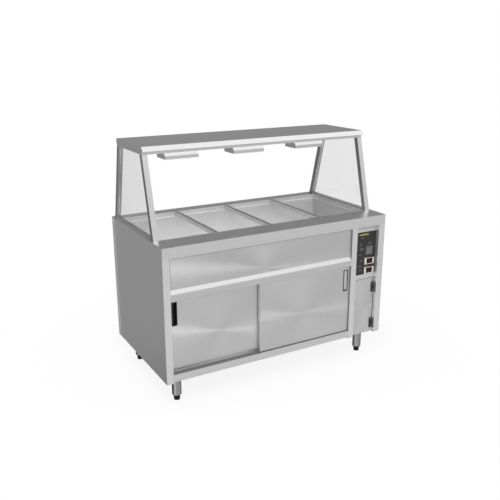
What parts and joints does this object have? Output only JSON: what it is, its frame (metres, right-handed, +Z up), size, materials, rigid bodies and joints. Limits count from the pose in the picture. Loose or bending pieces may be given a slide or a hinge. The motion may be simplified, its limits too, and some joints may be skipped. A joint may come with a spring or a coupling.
{
  "type": "hot cupboard",
  "caption": "Free-standing steel hot cupboard with sliding doors, an open pan well with divider bars, a recessed control column and a glazed gantry with heat lamps.",
  "frame": {"origin": "on the floor, under the middle of the bench", "axes": "+X to the right seen from the front, +Y to the back, +Z up"},
  "size_m": [1.433, 0.76, 1.37],
  "materials": {
    "casing_steel": "satin brushed sheet",
    "tank_steel": "satin sheet",
    "inner_steel": "plain mill finish",
    "leg_steel": "polished tube",
    "glass": "clear toughened pane",
    "black_plastic": "black moulded",
    "hinge_black": "black painted",
    "hinge_grey": "dark grey painted",
    "overlay_film": "charcoal printed film",
    "switch_grey": "mid grey moulded",
    "controller_white": "off-white moulded",
    "roller_nylon": "natural nylon",
    "quartz": "satin quartz tube",
    "lamp_ceramic": "unglazed white",
    "element_metal": "heat-darkened sheath",
    "terminal_plastic": "ivory moulded",
    "screw_steel": "plain"
  },
  "bodies": {
    "cabinet": {"bench_top": "casing_steel", "side_panel_left": "casing_steel", "side_panel_right": "casing_steel", "rear_panel": "casing_steel", "centre_stile": "casing_steel", "upper_front_panel": "casing_steel", "mid_rail": "casing_steel", "bottom_rail": "casing_steel", "control_panel": "casing_steel", "gantry_posts": "casing_steel", "gantry_frame": "casing_steel", "gantry_shelf": "casing_steel", "glass_channels": "casing_steel", "lamp_hoods": "casing_steel", "well_tank": "tank_steel", "base_pan": "inner_steel", "door_track": "inner_steel", "cupboard_liner": "inner_steel", "partition": "inner_steel", "cupboard_floor": "inner_steel", "cupboard_shelf": "inner_steel", "shelf_angles": "inner_steel", "legs": "leg_steel", "side_glass": "glass", "cable_gland": "black_plastic", "hinge_frame_leaves": "hinge_grey", "hinge_pins": "hinge_grey", "control_overlay": "overlay_film", "switch_bezel": "switch_grey", "upper_controller": "controller_white", "lower_controller": "controller_white", "lamp_tubes": "quartz", "lamp_holders": "lamp_ceramic", "well_element": "element_metal", "cupboard_element": "element_metal", "temperature_probes": "element_metal", "terminal_block": "terminal_plastic", "panel_screws": "screw_steel"},
    "left_door": {"left_door": "casing_steel", "left_handle": "black_plastic"},
    "left_roller_a": {"left_roller_a": "roller_nylon"},
    "left_roller_b": {"left_roller_b": "roller_nylon"},
    "right_door": {"right_door": "casing_steel", "right_handle": "black_plastic"},
    "right_roller_a": {"right_roller_a": "roller_nylon"},
    "right_roller_b": {"right_roller_b": "roller_nylon"},
    "access_door": {"access_door": "casing_steel", "hinge_door_leaves": "hinge_black"},
    "switch_rocker": {"switch_rocker": "switch_grey"},
    "upper_button_left": {"upper_button_left": "controller_white"},
    "upper_button_right": {"upper_button_right": "controller_white"},
    "lower_button_left": {"lower_button_left": "controller_white"},
    "lower_button_right": {"lower_button_right": "controller_white"},
    "foot_front_left": {"foot_front_left": "black_plastic"},
    "foot_front_right": {"foot_front_right": "black_plastic"},
    "foot_rear_left": {"foot_rear_left": "black_plastic"},
    "foot_rear_right": {"foot_rear_right": "black_plastic"},
    "divider_bar_left": {"divider_bar_left": "tank_steel"},
    "divider_bar_middle": {"divider_bar_middle": "tank_steel"},
    "divider_bar_right": {"divider_bar_right": "tank_steel"}
  },
  "joints": [
    {"name": "left_door_slide", "type": "slide", "parent": "cabinet", "child": "left_door", "axis": [1, 0, 0], "range_m": [0, 0.52]},
    {"name": "right_door_slide", "type": "slide", "parent": "cabinet", "child": "right_door", "axis": [1, 0, 0], "range_m": [-0.52, 0]},
    {"name": "left_roller_a_spin", "type": "hinge", "parent": "left_door", "child": "left_roller_a", "pos_m": [-0.585, -0.3292, 0.6573], "axis": [0, 1, 0], "continuous": true},
    {"name": "left_roller_b_spin", "type": "hinge", "parent": "left_door", "child": "left_roller_b", "pos_m": [-0.148, -0.3292, 0.6573], "axis": [0, 1, 0], "continuous": true},
    {"name": "right_roller_a_spin", "type": "hinge", "parent": "right_door", "child": "right_roller_a", "pos_m": [-0.054, -0.3552, 0.6573], "axis": [0, 1, 0], "continuous": true},
    {"name": "right_roller_b_spin", "type": "hinge", "parent": "right_door", "child": "right_roller_b", "pos_m": [0.383, -0.3552, 0.6573], "axis": [0, 1, 0], "continuous": true},
    {"name": "access_door_hinge", "type": "hinge", "parent": "cabinet", "child": "access_door", "pos_m": [0.6682, -0.3618, 0.33], "axis": [0, 0, 1], "range_deg": [0, 95]},
    {"name": "switch_rock", "type": "hinge", "parent": "cabinet", "child": "switch_rocker", "pos_m": [0.62, -0.357, 0.688], "axis": [1, 0, 0], "range_deg": [-14, 0]},
    {"name": "upper_button_left_press", "type": "slide", "parent": "cabinet", "child": "upper_button_left", "axis": [0, 1, 0], "range_m": [0, 0.001], "stiffness_N_per_m": 250},
    {"name": "upper_button_right_press", "type": "slide", "parent": "cabinet", "child": "upper_button_right", "axis": [0, 1, 0], "range_m": [0, 0.001], "stiffness_N_per_m": 250},
    {"name": "lower_button_left_press", "type": "slide", "parent": "cabinet", "child": "lower_button_left", "axis": [0, 1, 0], "range_m": [0, 0.001], "stiffness_N_per_m": 250},
    {"name": "lower_button_right_press", "type": "slide", "parent": "cabinet", "child": "lower_button_right", "axis": [0, 1, 0], "range_m": [0, 0.001], "stiffness_N_per_m": 250},
    {"name": "foot_front_left_turn", "type": "hinge", "parent": "cabinet", "child": "foot_front_left", "pos_m": [-0.622, -0.284, 0], "axis": [0, 0, 1], "continuous": true},
    {"name": "foot_front_right_turn", "type": "hinge", "parent": "cabinet", "child": "foot_front_right", "pos_m": [0.622, -0.284, 0], "axis": [0, 0, 1], "continuous": true},
    {"name": "foot_rear_left_turn", "type": "hinge", "parent": "cabinet", "child": "foot_rear_left", "pos_m": [-0.622, 0.284, 0], "axis": [0, 0, 1], "continuous": true},
    {"name": "foot_rear_right_turn", "type": "hinge", "parent": "cabinet", "child": "foot_rear_right", "pos_m": [0.622, 0.284, 0], "axis": [0, 0, 1], "continuous": true},
    {"name": "divider_bar_left_lift", "type": "slide", "parent": "cabinet", "child": "divider_bar_left", "axis": [0, 0, 1], "range_m": [0, 0.15]},
    {"name": "divider_bar_middle_lift", "type": "slide", "parent": "cabinet", "child": "divider_bar_middle", "axis": [0, 0, 1], "range_m": [0, 0.15]},
    {"name": "divider_bar_right_lift", "type": "slide", "parent": "cabinet", "child": "divider_bar_right", "axis": [0, 0, 1], "range_m": [0, 0.15]}
  ],
  "couplings": [
    {"joint": "left_roller_a_spin", "follows": "left_door_slide", "rad_per_m": 90.909},
    {"joint": "left_roller_b_spin", "follows": "left_door_slide", "rad_per_m": 90.909},
    {"joint": "right_roller_a_spin", "follows": "right_door_slide", "rad_per_m": 90.909},
    {"joint": "right_roller_b_spin", "follows": "right_door_slide", "rad_per_m": 90.909}
  ]
}
